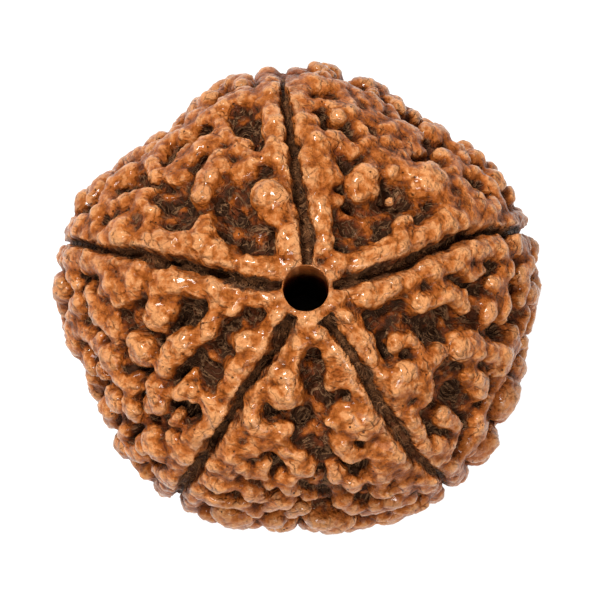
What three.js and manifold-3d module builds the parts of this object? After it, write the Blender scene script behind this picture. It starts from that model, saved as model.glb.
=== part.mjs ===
// A five-faced rudraksha: the bony stone of the fruit, dried, cleaned and drilled from pole to pole for a cord.
// It grew as one piece, so it is one solid. Five grooves run from pole to pole along the corners of a rounded
// pentagon, and the faces between them carry a raised net of winding ridges and knobs over rough valleys.
// +Z runs along the drilled hole. The seed stands on its lower pole, which is worn flat round the hole.
import * as THREE from "three";
import { mergeVertices } from "three/addons/utils/BufferGeometryUtils.js";
import { SimplifyModifier } from "three/addons/modifiers/SimplifyModifier.js";
import Module from "manifold-3d";

// Driving dimensions, in millimetres. The outer form is the seed with its valleys filled up to the ridge tops.
// Its radii are given at the five grooves, and at the middles of the faces between them.
const CORNER_RADII = { east: 11.2, north: 10.9, west: 11.4, southWest: 11.2, southEast: 11.45 };
const SIDE_RADII = { northEast: 10.15, northWest: 9.9, southWest: 10.5, south: 10.7, southEast: 10.75 };
const HALF_HEIGHT = 9.7; // from the middle of the seed to the ridge tops at a pole
const PROFILE_POWER = 2.25; // 2 is an ellipse from the side, and more is squarer
const HOLE_RADIUS = 1.0;
const HOLE_PLACE = [0.25, -0.3]; // where the hole's axis passes, from the middle of the seed
const FOOT_WEAR = 0.55; // how much of the lower pole is worn away to a flat

// Depths and widths below the outer form.
const VALLEY_DEPTH = 1.4;
const GROOVE_DEPTH = 1.9; // near a pole
const EQUATOR_GROOVE_DEPTH = 0.8;
const GROOVE_HALF_WIDTH = 0.36; // near a pole
const EQUATOR_SHARE = 0.55; // of the half width that a groove keeps at the equator
const GROOVE_POWER = 4; // 2 is a round-bottomed groove, and more has a flatter bottom and steeper walls
const COLLAR_DEPTH = 0.6; // down to the smooth collar round the hole
const COLLAR_REACH = [1.35, 3.4]; // from the hole's axis: where the collar ends, where grooves are full deep
const COLLAR_SLOPE = 1.2; // how steeply the collar falls into the valleys
const PIT_DEPTH = 1.6; // of a pit, in its own radii

// Ridge sizes. A thick ridge stands higher than a thin one.
const LEVEL_RIDGE = 0.5; // half width of a ridge whose top lies just on the outer form
const RISE_OF_WIDTH = 1.0; // how much higher a ridge stands for each millimetre of extra half width
const FLANK_SHARE = 1.4; // a ridge's flanks meet the valley floor this many half widths from its crest
const RIDGE_POWER = 3; // 2 is a round hump, and more has a flatter top and steeper flanks
const TIP_HALF_WIDTH = 0.8; // the blunt tip that each face ends in at the lower pole, which the seed stands on
const TIP_REACH = [1.9, 3.3]; // where a tip begins and ends, from the middle of the pole

// The upper side is drawn as an eye sees it that leans a little from the hole's axis.
// Drawing units are pixels of the reference photograph, x to the right and y down.
const UNITS_PER_MM = 22;
const DRAWING_CENTRE = [300, 297];
const EYE_LEAN = THREE.MathUtils.degToRad(4);
const EYE_DISTANCE = 200;
const EYE_STEP = 0.05;

// The five grooves of the upper side, each from the hole outwards: x, y, x, y and so on.
const GROOVES = {
  east: [333, 283, 360, 278, 395, 268, 420, 257, 445, 246, 470, 235, 497, 228, 522, 231],
  north: [306, 264, 308, 240, 303, 210, 298, 180, 294, 150, 290, 125, 286, 100, 284, 82],
  west: [281, 287, 250, 281, 220, 274, 190, 266, 160, 259, 130, 253, 100, 249, 68, 241],
  southWest: [292, 316, 280, 338, 262, 368, 245, 393, 226, 424, 207, 452, 192, 474, 180, 493],
  southEast: [327, 317, 345, 345, 365, 377, 383, 405, 401, 436, 420, 463, 445, 484],
};

// The ridges of each face of the upper side. Each row is one ridge: its half width, then x, y along its crest.
// A row with one place is a knob.
const FACE_RIDGES = {
  northWest: [
    [9, 280, 268, 262, 268, 245, 265, 230, 260, 218, 256],
    [11, 214, 252, 204, 246, 190, 241, 176, 240, 163, 241, 152, 242],
    [8, 206, 240, 201, 228, 199, 219],
    [12, 290, 245, 291, 232],
    [9, 285, 221, 277, 211, 268, 207],
    [15, 270, 190, 262, 190],
    [9, 283, 176, 284, 166, 281, 158],
    [9, 280, 156, 274, 148, 262, 150, 250, 155, 241, 163, 236, 169],
    [9, 276, 146, 273, 133, 275, 118, 273, 104, 264, 95, 250, 89, 236, 90, 224, 97, 216, 107],
    [7, 216, 113, 219, 125, 228, 134, 242, 138],
    [8, 256, 84, 240, 82, 226, 89],
    [7, 272, 74, 274, 84],
    [11, 206, 108, 193, 110],
    [11, 217, 152, 211, 165, 203, 176, 196, 188],
    [8, 211, 141, 202, 137, 193, 143, 186, 152],
    [8, 183, 141, 175, 147],
    [8, 172, 157, 165, 166, 170, 173, 178, 170],
    [10, 148, 168, 145, 157, 154, 147],
    [11, 165, 136, 155, 146],
    [9, 187, 125, 176, 129],
    [9, 140, 152, 134, 158],
    [12, 120, 170, 108, 179],
    [8, 100, 190, 98, 200],
    [8, 139, 190, 126, 194, 114, 199, 104, 205],
    [9, 134, 203, 143, 210],
    [15, 113, 230],
    [9, 98, 237],
    [9, 129, 241, 141, 237],
    [7, 141, 219, 150, 226],
    [12, 88, 211],
    [9, 76, 222],
    [10, 85, 229, 78, 236],
    [5, 233, 143, 240, 147],
  ],
  northEast: [
    [9, 324, 243, 322, 228, 322, 212, 322, 196, 324, 182],
    [12, 327, 168, 325, 156],
    [9, 319, 145, 316, 133, 312, 122, 308, 112],
    [8, 302, 113, 303, 122],
    [8, 326, 136, 336, 130, 345, 134, 352, 143],
    [9, 337, 268, 342, 262],
    [9, 352, 259, 366, 257, 380, 254, 392, 250],
    [11, 402, 245, 414, 238, 426, 234],
    [10, 438, 227, 447, 219, 456, 212],
    [10, 469, 216, 477, 209, 475, 199],
    [8, 463, 196, 455, 200],
    [7, 405, 223, 412, 219],
    [10, 380, 146, 376, 157],
    [14, 370, 171, 366, 176],
    [8, 362, 186, 374, 183],
    [14, 429, 177, 438, 177],
    [9, 447, 184, 446, 193],
    [9, 398, 166, 410, 163, 424, 163],
    [7, 388, 156, 396, 150],
    [7, 383, 141, 392, 133, 403, 137, 408, 146],
    [9, 412, 129, 424, 127],
    [11, 436, 125, 447, 128],
    [7, 415, 142, 426, 143],
    [9, 452, 150, 462, 158, 461, 168],
    [9, 464, 143, 471, 153],
    [8, 478, 166, 488, 170, 497, 180, 505, 191, 511, 203],
    [9, 483, 190, 487, 200, 496, 207, 503, 203],
    [8, 517, 218, 524, 225],
    [7, 505, 222],
    [8, 465, 180, 474, 186],
    [10, 297, 90, 300, 78, 311, 71],
    [9, 318, 78, 328, 74, 339, 80, 347, 91, 351, 104],
    [7, 341, 107, 336, 98],
    [7, 309, 97, 318, 93],
    [8, 322, 67, 335, 72, 348, 76],
    [8, 358, 84, 362, 93],
    [8, 372, 88, 380, 98],
    [9, 391, 98, 399, 108],
    [8, 402, 118, 396, 125],
    [7, 368, 110, 377, 105, 386, 112, 384, 122],
    [6, 362, 118, 368, 126],
    [6, 366, 137, 378, 133],
    [4, 396, 195],
    [5, 341, 194],
  ],
  southWest: [
    [9, 284, 304, 272, 299, 259, 296, 247, 294],
    [10, 236, 292, 222, 290, 208, 288, 194, 288],
    [13, 167, 283, 160, 284],
    [9, 183, 284],
    [9, 150, 290],
    [12, 230, 302, 226, 309],
    [9, 214, 299, 211, 311],
    [11, 207, 322, 203, 333],
    [9, 192, 343, 180, 344, 171, 351, 163, 361],
    [9, 158, 370, 157, 381],
    [11, 149, 392, 151, 404],
    [9, 143, 411, 153, 413],
    [9, 282, 313, 276, 324, 268, 335, 261, 345],
    [9, 250, 350, 243, 346],
    [13, 232, 373],
    [9, 243, 372],
    [10, 231, 386, 230, 392],
    [7, 188, 398, 180, 393, 171, 398],
    [10, 204, 406, 213, 413, 212, 424],
    [9, 205, 432, 194, 441, 185, 441],
    [6, 171, 423, 168, 429],
    [12, 151, 312, 150, 318],
    [7, 164, 309],
    [14, 122, 277, 127, 283],
    [8, 137, 269, 131, 264],
    [12, 103, 283, 97, 288],
    [9, 113, 295],
    [12, 77, 262, 83, 258],
    [9, 62, 274, 66, 281],
    [9, 93, 263, 98, 270],
    [8, 79, 292, 88, 303, 87, 313, 97, 320],
    [8, 103, 325, 108, 334, 108, 343],
    [6, 96, 309, 105, 312],
    [11, 129, 348, 137, 355],
    [9, 131, 362],
    [12, 102, 361],
    [8, 92, 352],
    [9, 68, 304, 64, 316],
    [9, 70, 330, 80, 339],
    [8, 91, 341, 84, 347],
    [9, 78, 357, 82, 368],
    [8, 92, 376],
    [8, 113, 385, 122, 391],
    [9, 104, 402, 110, 409],
    [9, 123, 411, 127, 422],
    [8, 116, 437, 118, 448],
    [8, 125, 458, 136, 464],
    [11, 147, 449, 153, 457],
    [11, 178, 460],
    [8, 165, 466],
    [7, 165, 446],
    [8, 150, 480, 160, 486, 172, 484],
  ],
  south: [
    [12, 312, 322],
    [11, 313, 335],
    [9, 301, 345, 295, 358],
    [11, 288, 372, 285, 384],
    [15, 284, 398],
    [9, 328, 345, 338, 356, 346, 368, 354, 381, 361, 394, 368, 406],
    [10, 374, 418, 377, 430],
    [10, 338, 424, 352, 418, 364, 420],
    [12, 352, 430, 366, 431],
    [8, 341, 446, 345, 457, 356, 463, 369, 461, 378, 452],
    [8, 334, 384, 334, 389],
    [12, 249, 429, 254, 438],
    [9, 267, 445, 279, 446],
    [7, 276, 436, 284, 438],
    [9, 230, 452, 231, 464, 239, 473, 249, 480],
    [7, 258, 482, 262, 471],
    [8, 246, 457, 258, 452, 272, 453, 285, 458],
    [10, 297, 466, 303, 475],
    [8, 383, 441, 391, 449],
    [10, 392, 457, 401, 465, 402, 476],
    [9, 384, 470, 390, 480],
    [8, 371, 486, 383, 489],
    [9, 340, 485],
    [9, 355, 492],
    [8, 334, 475],
    [9, 408, 489, 413, 499],
    [8, 398, 497, 385, 500],
    [10, 213, 473, 222, 480],
    [8, 204, 488, 216, 492, 229, 494],
    [8, 193, 500, 207, 507, 222, 512],
    [8, 248, 500, 258, 508],
    [8, 268, 492],
    [10, 286, 488, 291, 499],
    [8, 283, 510, 270, 516],
    [8, 252, 520, 240, 514],
    [8, 292, 524, 303, 519],
    [8, 311, 507],
    [9, 345, 512, 358, 519],
    [9, 372, 521, 384, 514],
    [9, 398, 510, 412, 507],
  ],
  southEast: [
    [9, 336, 303, 345, 296, 357, 296],
    [10, 370, 297, 384, 293, 398, 287],
    [9, 411, 281, 424, 275, 437, 269, 450, 264],
    [10, 458, 261, 470, 255],
    [9, 482, 249, 494, 244, 506, 245, 514, 254],
    [8, 517, 266, 511, 277, 503, 284],
    [7, 471, 268, 482, 274, 490, 268],
    [9, 344, 313, 352, 322, 359, 332, 366, 344],
    [7, 372, 355, 379, 366, 386, 377],
    [14, 408, 384],
    [10, 421, 388],
    [9, 430, 377, 438, 366, 446, 357],
    [10, 429, 395, 426, 407],
    [9, 416, 416, 416, 428, 424, 438],
    [7, 402, 347, 409, 342, 419, 343, 426, 352, 427, 363, 421, 372],
    [10, 426, 303, 436, 299, 447, 293],
    [8, 458, 292, 467, 296],
    [8, 471, 309],
    [12, 470, 350, 483, 352],
    [12, 498, 354, 508, 362],
    [8, 466, 342, 480, 340],
    [7, 505, 291, 513, 294],
    [8, 499, 309, 494, 320],
    [7, 513, 305, 511, 318],
    [9, 478, 378, 487, 386, 489, 397],
    [8, 448, 424, 458, 427, 463, 437, 459, 448],
    [10, 446, 453, 434, 456],
    [8, 424, 452],
    [9, 437, 468, 450, 465],
    [9, 524, 238, 532, 246],
    [10, 537, 264, 532, 274],
    [8, 533, 290, 531, 302],
    [9, 534, 315, 530, 327],
    [8, 520, 338, 526, 350],
    [8, 519, 359, 512, 369],
    [8, 507, 382, 503, 393],
    [8, 498, 402, 494, 413],
    [9, 486, 425, 487, 437],
    [9, 479, 448, 476, 459],
    [8, 466, 467, 459, 476],
    [9, 447, 482, 434, 486],
  ],
};

// Pits in the valleys of the upper side: x, y, radius.
const PITS = [
  [243, 117, 12], [232, 212, 10], [225, 236, 5], [160, 196, 9], [214, 197, 8],
  [325, 104, 11], [345, 120, 8], [355, 137, 7], [350, 194, 9], [398, 190, 12], [425, 148, 6],
  [170, 326, 9], [135, 326, 8], [115, 310, 6], [125, 373, 9], [172, 386, 7], [200, 385, 7], [178, 421, 12],
  [315, 362, 11], [320, 398, 9], [270, 425, 10], [270, 474, 9], [300, 428, 8], [385, 460, 6], [245, 493, 6],
  [453, 308, 8], [480, 262, 6], [485, 290, 9], [465, 402, 12], [449, 330, 8], [400, 360, 8],
];

// Each groove has an uneven ridge along either edge, lower and thinner on the upper side.
const UPPER_BORDER_HALF_WIDTHS = [0.28, 0.4];
const LOWER_BORDER_HALF_WIDTHS = [0.36, 0.52];
const BORDER_ASIDE = [0.8, 1.3]; // from the groove's edge to the ridge's crest, in the ridge's half widths
const BORDER_FROM_AXIS = 1.5; // the ridges stop this close to the hole's axis
const LAST_BORDER = THREE.MathUtils.degToRad(167); // and this far from the upper pole

// The lower side, which repeats the same kind of net by rule.
const LOWER_SEED = 20;
const LOWER_STARTS = 900; // places where a ridge may start, spread evenly over the whole sphere
const LOWER_FROM = 0.42; // the rule works where the surface is turned further from the eye than this cosine
const LOWER_HALF_WIDTHS = [0.4, 0.72];
const LOWER_STEP = 0.95; // length of one stretch of a winding ridge
const LOWER_MOST_STRETCHES = 4;
const LOWER_TURN = 1.3; // the most, in radians, that a ridge turns between stretches
const LOWER_SPACING = 1.12; // share of two half widths that keeps their crests apart
const FIRST_LOWER = THREE.MathUtils.degToRad(98); // angle from the upper pole where the drawn grooves go on
const STEP_DOWN = THREE.MathUtils.degToRad(7.5); // and the steps in which they do

// The mesh of the whole surface.
const FINE_DETAIL = 70; // each edge of the first icosahedron is split this many times
const ROUNDING = 2; // how many times it is smoothed
const SURFACE_VERTICES = 5700; // how many vertices stay
const HOLE_SIDES = 24;
const SAME_PLACE = 1e-5; // vertices closer than this are one

// The row of evenly spread numbers behind the rule: each is the last one times a factor, plus a step.
const DRAW_FACTOR = 1664525;
const DRAW_STEP = 1013904223;
const DRAW_RANGE = 2 ** 32;

const SIDES = Object.keys(GROOVES).length;
const RIGHT = new THREE.Vector3(1, 0, 0);
const UP = new THREE.Vector3(0, Math.cos(EYE_LEAN), Math.sin(EYE_LEAN));
const TO_EYE = new THREE.Vector3(0, -Math.sin(EYE_LEAN), Math.cos(EYE_LEAN));

// A direction by its azimuth and its angle from the upper pole.
function towards(azimuth, polar) {
  const flat = Math.sin(polar);
  return new THREE.Vector3(flat * Math.cos(azimuth), flat * Math.sin(azimuth), Math.cos(polar));
}

const turn = (angle) => ((angle % (2 * Math.PI)) + 2 * Math.PI) % (2 * Math.PI);

// Azimuths of the grooves at the widest part, in order round the seed.
const CORNER_AZIMUTHS = Object.values(GROOVES).map((route) => {
  const [x, y] = route.slice(-2);
  return turn(Math.atan2(DRAWING_CENTRE[1] - y, x - DRAWING_CENTRE[0]));
});
const corners = Object.values(CORNER_RADII);
const sides = Object.values(SIDE_RADII);

// The angle that a face takes, from its own groove to the next one.
const faceSpan = (face) => turn(CORNER_AZIMUTHS[(face + 1) % SIDES] - CORNER_AZIMUTHS[face]);

// Distance from the middle of the seed to its outer form over the ridge tops, in a direction. Seen from a pole
// it is a pentagon with very round corners.
function outerForm(direction) {
  const azimuth = turn(Math.atan2(direction.y, direction.x));
  const face = CORNER_AZIMUTHS.findIndex((from, i) => turn(azimuth - from) <= faceSpan(i));
  const share = turn(azimuth - CORNER_AZIMUTHS[face]) / faceSpan(face);
  const corner = corners[share < 0.5 ? face : (face + 1) % SIDES];
  const plan = sides[face] + (corner - sides[face]) * 0.5 * (1 + Math.cos(2 * Math.PI * share));
  const outward = Math.hypot(direction.x, direction.y) / plan;
  const upward = Math.abs(direction.z) / HALF_HEIGHT;
  return (outward ** PROFILE_POWER + upward ** PROFILE_POWER) ** (-1 / PROFILE_POWER);
}

// The direction, from the middle of the seed, of the place that a drawing unit shows.
function fromDrawing(x, y) {
  const across = (x - DRAWING_CENTRE[0]) / UNITS_PER_MM;
  const up = (DRAWING_CENTRE[1] - y) / UNITS_PER_MM;
  const place = new THREE.Vector3();
  for (let height = HALF_HEIGHT + 1; height > 0; height -= EYE_STEP) {
    const narrowing = 1 - height / EYE_DISTANCE;
    place.set(0, 0, 0).addScaledVector(RIGHT, across * narrowing).addScaledVector(UP, up * narrowing);
    place.addScaledVector(TO_EYE, height);
    if (place.length() < outerForm(place.clone().normalize())) break;
  }
  return place.normalize();
}

// The directions of a whole drawn row.
function lineOf(row) {
  const count = row.length / 2;
  return Array.from({ length: count }, (_, i) => fromDrawing(row[2 * i], row[2 * i + 1]));
}

// Each groove runs down the far side to the lower pole along its corner of the pentagon.
const grooveLines = Object.values(GROOVES).map((route, i) => {
  const line = lineOf(route);
  const azimuth = CORNER_AZIMUTHS[i];
  for (let polar = FIRST_LOWER; polar < Math.PI; polar += STEP_DOWN) line.push(towards(azimuth, polar));
  line.push(towards(azimuth, Math.PI));
  return line;
});

// How far a direction is from a line of directions, on the unit sphere. A knob is a line with one place.
function distanceTo(line, direction) {
  const segment = new THREE.Line3();
  const place = new THREE.Vector3();
  let least = line[0].distanceTo(direction);
  for (let i = 1; i < line.length; i++) {
    segment.set(line[i - 1], line[i]);
    least = Math.min(least, segment.closestPointToPoint(direction, true, place).distanceTo(direction));
  }
  return least;
}

const ridges = Object.values(FACE_RIDGES)
  .flat()
  .map(([half, ...route]) => ({ half: half / UNITS_PER_MM, line: lineOf(route) }));

const pits = PITS.map(([x, y, radius]) => ({ middle: fromDrawing(x, y), radius: radius / UNITS_PER_MM }));

// Evenly spread numbers from 0 to 1, or between two limits, the same ones each time.
let state = LOWER_SEED;
function draw(least = 0, most = 1) {
  state = (state * DRAW_FACTOR + DRAW_STEP) % DRAW_RANGE;
  return least + (most - least) * (state / DRAW_RANGE);
}

// A unit step from a direction, at a heading, along the sphere.
function stepped(direction, heading, length) {
  const east = new THREE.Vector3(-direction.y, direction.x, 0).normalize();
  const north = new THREE.Vector3().crossVectors(direction, east);
  return direction
    .clone()
    .addScaledVector(east, Math.cos(heading) * length)
    .addScaledVector(north, Math.sin(heading) * length)
    .normalize();
}

// How far a direction is from the nearest groove's middle, in millimetres.
const grooveDistance = (direction) =>
  Math.min(...grooveLines.map((line) => distanceTo(line, direction))) * outerForm(direction);

// Half width of a groove, widest at the poles.
const grooveHalfWidth = (direction) =>
  GROOVE_HALF_WIDTH * (EQUATOR_SHARE + (1 - EQUATOR_SHARE) * Math.sqrt(Math.abs(direction.z)));

// How far the place on the outer form, in a direction, is from the hole's axis.
function fromAxis(direction) {
  const form = outerForm(direction);
  return Math.hypot(direction.x * form - HOLE_PLACE[0], direction.y * form - HOLE_PLACE[1]);
}

// Ridges that border each groove, one on either hand.
function addBorderRidges() {
  for (const line of grooveLines) {
    for (const hand of [-1, 1]) {
      const border = [];
      line.forEach((place, i) => {
        const nearHole = place.z > 0 && fromAxis(place) < BORDER_FROM_AXIS;
        if (nearHole || place.z < Math.cos(LAST_BORDER)) return;
        const before = line[Math.max(i - 1, 0)];
        const heading = line[Math.min(i + 1, line.length - 1)].clone().sub(before).normalize();
        const half = draw(...(place.z > 0 ? UPPER_BORDER_HALF_WIDTHS : LOWER_BORDER_HALF_WIDTHS));
        const away = (grooveHalfWidth(place) + half * draw(...BORDER_ASIDE)) / outerForm(place);
        const side = new THREE.Vector3().crossVectors(place, heading);
        border.push(side.multiplyScalar(hand * away).add(place).normalize());
        if (border.length > 1) ridges.push({ half, line: border.slice(-2) });
      });
    }
  }
}

// The five faces end round the lower pole in blunt tips.
function addTips() {
  CORNER_AZIMUTHS.forEach((from, i) => {
    const azimuth = from + faceSpan(i) / 2;
    const line = TIP_REACH.map((reach) => towards(azimuth, Math.PI - Math.atan(reach / HALF_HEIGHT)));
    ridges.push({ half: TIP_HALF_WIDTH, line });
  });
}

// Winding ridges and knobs between the borders, each stopping before it runs into another.
function addWindingRidges() {
  const golden = Math.PI * (3 - Math.sqrt(5));
  for (let i = 0; i < LOWER_STARTS; i++) {
    const height = 1 - (2 * (i + 0.5)) / LOWER_STARTS;
    const flat = Math.sqrt(1 - height ** 2);
    let place = new THREE.Vector3(flat * Math.cos(i * golden), flat * Math.sin(i * golden), height);
    let heading = draw(0, 2 * Math.PI);
    const half = draw(...LOWER_HALF_WIDTHS);
    const stretches = Math.floor(draw(0, LOWER_MOST_STRETCHES + 1));
    if (place.dot(TO_EYE) > LOWER_FROM) continue;
    const line = [];
    const others = ridges.slice();
    for (let j = 0; j <= stretches; j++) {
      const form = outerForm(place);
      const crowded = others.some(
        (other) => distanceTo(other.line, place) * form < (half + other.half) * LOWER_SPACING,
      );
      if (crowded || grooveDistance(place) < grooveHalfWidth(place) + half) break;
      line.push(place);
      heading += draw(-LOWER_TURN, LOWER_TURN);
      place = stepped(place, heading, LOWER_STEP / form);
    }
    if (line.length) ridges.push({ half, line });
  }
}
addBorderRidges();
addTips();
addWindingRidges();

// A circle round each ridge, so that ridges far from a place are passed over quickly.
for (const ridge of ridges) {
  ridge.middle = ridge.line.reduce((sum, place) => sum.add(place), new THREE.Vector3()).normalize();
  ridge.reach = Math.max(...ridge.line.map((place) => place.distanceTo(ridge.middle)));
}

// Depth of a groove under the outer form: shallow round the hole, deepest beside that, less at the equator.
function grooveDepth(direction) {
  const [start, end] = COLLAR_REACH;
  const openUp = THREE.MathUtils.clamp((fromAxis(direction) - start) / (end - start), 0, 1);
  const nearPole = Math.sqrt(Math.abs(direction.z));
  const full = THREE.MathUtils.lerp(EQUATOR_GROOVE_DEPTH, GROOVE_DEPTH, nearPole);
  return THREE.MathUtils.lerp(COLLAR_DEPTH, full, openUp);
}

// Height of the valley floors, from the middle of the seed, with their pits and the collar round the hole.
function valleyHeight(direction, form) {
  let height = form - VALLEY_DEPTH;
  for (const { middle, radius } of pits) {
    const aside = (middle.distanceTo(direction) * form) / radius;
    height -= PIT_DEPTH * radius * Math.exp(-(aside ** 2));
  }
  const pastCollar = Math.max(fromAxis(direction) - COLLAR_REACH[0], 0);
  return Math.max(height, form - COLLAR_DEPTH - COLLAR_SLOPE * pastCollar);
}

// Height of the surface, from the middle of the seed, in a direction.
function surfaceHeight(direction) {
  const form = outerForm(direction);
  const valley = valleyHeight(direction, form);
  let height = valley;
  for (const { half, line, middle, reach } of ridges) {
    const foot = half * FLANK_SHARE;
    if (middle.distanceTo(direction) > reach + foot / form) continue;
    const share = (distanceTo(line, direction) * form) / foot;
    if (share >= 1) continue;
    const crest = form + (half - LEVEL_RIDGE) * RISE_OF_WIDTH;
    height = Math.max(height, valley + (crest - valley) * (1 - share ** RIDGE_POWER));
  }
  const share = grooveDistance(direction) / grooveHalfWidth(direction);
  if (share >= 1) return height;
  const bottom = Math.min(height, form - grooveDepth(direction));
  return height - (height - bottom) * (1 - share ** GROOVE_POWER);
}

// Moves every vertex to the middle of its neighbours, which rounds the shoulders of ridges and grooves.
function smooth(geometry) {
  const position = geometry.getAttribute("position");
  const sums = Array.from({ length: position.count }, () => new THREE.Vector4(0, 0, 0, 0));
  const place = new THREE.Vector3();
  const weighed = new THREE.Vector4();
  const triangles = geometry.index;
  for (let i = 0; i < triangles.count; i += 3) {
    for (let corner = 0; corner < 3; corner++) {
      place.fromBufferAttribute(position, triangles.getX(i + corner));
      weighed.set(place.x, place.y, place.z, 1);
      sums[triangles.getX(i + ((corner + 1) % 3))].add(weighed);
      sums[triangles.getX(i + ((corner + 2) % 3))].add(weighed);
    }
  }
  sums.forEach(({ x, y, z, w }, i) => position.setXYZ(i, x / w, y / w, z / w));
}

// The whole surface: a fine sphere whose every vertex is moved out to the seed's own height there. Most of its
// triangles then go from where the surface is nearly flat, and the rest follow the ridges and grooves.
async function seedSurface() {
  const geometry = new THREE.IcosahedronGeometry(1, FINE_DETAIL);
  geometry.deleteAttribute("normal");
  geometry.deleteAttribute("uv");
  const fine = mergeVertices(geometry, SAME_PLACE);
  const position = fine.getAttribute("position");
  const direction = new THREE.Vector3();
  for (let i = 0; i < position.count; i++) {
    direction.fromBufferAttribute(position, i).normalize();
    direction.setLength(surfaceHeight(direction));
    position.setXYZ(i, direction.x, direction.y, direction.z);
  }
  for (let round = 0; round < ROUNDING; round++) smooth(fine);
  return new SimplifyModifier().modify(fine, position.count - SURFACE_VERTICES);
}

const wasm = await Module();
wasm.setup();

// A closed geometry as a solid that can be joined and cut.
function solidOf(geometry) {
  const plain = geometry.clone();
  plain.deleteAttribute("normal");
  plain.deleteAttribute("uv");
  const merged = mergeVertices(plain, SAME_PLACE);
  return new wasm.Manifold(
    new wasm.Mesh({
      numProp: 3,
      vertProperties: new Float32Array(merged.getAttribute("position").array),
      triVerts: new Uint32Array(merged.index.array),
    }),
  );
}

function geometryOf(solid) {
  const mesh = solid.getMesh();
  return new THREE.BufferGeometry()
    .setAttribute("position", new THREE.BufferAttribute(new Float32Array(mesh.vertProperties), 3))
    .setIndex(new THREE.BufferAttribute(new Uint32Array(mesh.triVerts), 1));
}

// The drilled hole, right through from pole to pole.
function holeTool() {
  const drill = new THREE.CylinderGeometry(HOLE_RADIUS, HOLE_RADIUS, 4 * HALF_HEIGHT, HOLE_SIDES);
  return drill.rotateX(Math.PI / 2).translate(HOLE_PLACE[0], HOLE_PLACE[1], 0);
}

// What has been worn away under the lower pole.
function footTool() {
  const width = 4 * HALF_HEIGHT;
  const block = new THREE.BoxGeometry(width, width, HALF_HEIGHT);
  return block.translate(0, 0, FOOT_WEAR - 1.5 * HALF_HEIGHT);
}

const grown = solidOf(await seedSurface());
const drilled = grown.subtract(solidOf(holeTool()));
const seed = drilled.subtract(solidOf(footTool()));

const material = new THREE.MeshStandardMaterial({ color: 0xa9683a, roughness: 0.55, metalness: 0 });
const mesh = new THREE.Mesh(geometryOf(seed), material);
mesh.name = "rudraksha_seed";
mesh.position.z = HALF_HEIGHT - FOOT_WEAR;

const group = new THREE.Group();
group.add(mesh);
export default group;
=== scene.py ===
# %% [markdown]
# # A rudraksha seed
# A rudraksha is the stone of a fruit, much as a peach stone is. The flesh is washed off, the stone is dried
# and oiled, and it is drilled from pole to pole for a cord. This one has five faces. A deep groove runs
# between each two of them from the upper pole to the lower one, and every face carries a net of winding
# ridges and knobs. It grew as one piece, so this scene makes one mesh, which takes the place of the plainer
# solid in the frame.

# %% The frame
import math

import bmesh
import bpy
import numpy as np
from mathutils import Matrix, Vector


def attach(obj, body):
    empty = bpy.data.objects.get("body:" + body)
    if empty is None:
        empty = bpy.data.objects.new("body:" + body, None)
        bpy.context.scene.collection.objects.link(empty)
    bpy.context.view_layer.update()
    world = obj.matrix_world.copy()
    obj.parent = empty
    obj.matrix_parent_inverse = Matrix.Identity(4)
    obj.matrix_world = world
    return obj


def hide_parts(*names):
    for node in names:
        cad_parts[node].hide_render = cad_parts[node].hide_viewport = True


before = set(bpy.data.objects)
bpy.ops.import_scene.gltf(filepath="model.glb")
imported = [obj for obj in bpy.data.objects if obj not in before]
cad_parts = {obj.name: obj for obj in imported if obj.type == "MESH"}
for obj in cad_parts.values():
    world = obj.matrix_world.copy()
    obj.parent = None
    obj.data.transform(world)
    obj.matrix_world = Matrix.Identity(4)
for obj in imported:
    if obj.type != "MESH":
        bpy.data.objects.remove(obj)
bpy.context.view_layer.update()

# %% [markdown]
# ## The seed's outer form
# If the valleys were filled up to the ridge tops, the seed would be a squat ball: a pentagon with very
# round corners when seen along the hole, and a slightly squared ellipse when seen from the side. A formula
# that gives the distance from the middle in any direction says this in a few numbers, and everything else
# is placed on it. Lengths are in millimetres until a mesh is made.

# %% Sizes of the outer form
MM = 0.001
CORNER_RADII = {"east": 11.2, "north": 10.9, "west": 11.4, "south_west": 11.2, "south_east": 11.45}
SIDE_RADII = {"north_east": 10.15, "north_west": 9.9, "south_west": 10.5, "south": 10.7, "south_east": 10.75}
HALF_HEIGHT = 9.7
PROFILE_POWER = 2.25  # 2 is an ellipse from the side, and more is squarer
VALLEY_DEPTH = 1.4
GROOVE_DEPTH = 1.9
EQUATOR_GROOVE_DEPTH = 0.8
GROOVE_HALF_WIDTH = 0.36
EQUATOR_SHARE = 0.55  # of the half width that a groove keeps at the equator
HOLE_RADIUS = 1.0
HOLE_PLACE = (0.25, -0.3)
FOOT_WEAR = 0.55  # how much of the lower pole is worn away to a flat
MIDDLE_HEIGHT = HALF_HEIGHT - FOOT_WEAR  # the seed's middle above the floor
TIP_HALF_WIDTH = 0.8
TIP_REACH = (1.9, 3.3)
LEVEL_RIDGE = 0.5  # half width of a ridge whose top lies just on the outer form
RISE_OF_WIDTH = 1.0  # how much higher a ridge stands for each millimetre of extra half width
print("The outer form stands", HALF_HEIGHT + MIDDLE_HEIGHT, "mm high")
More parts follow.
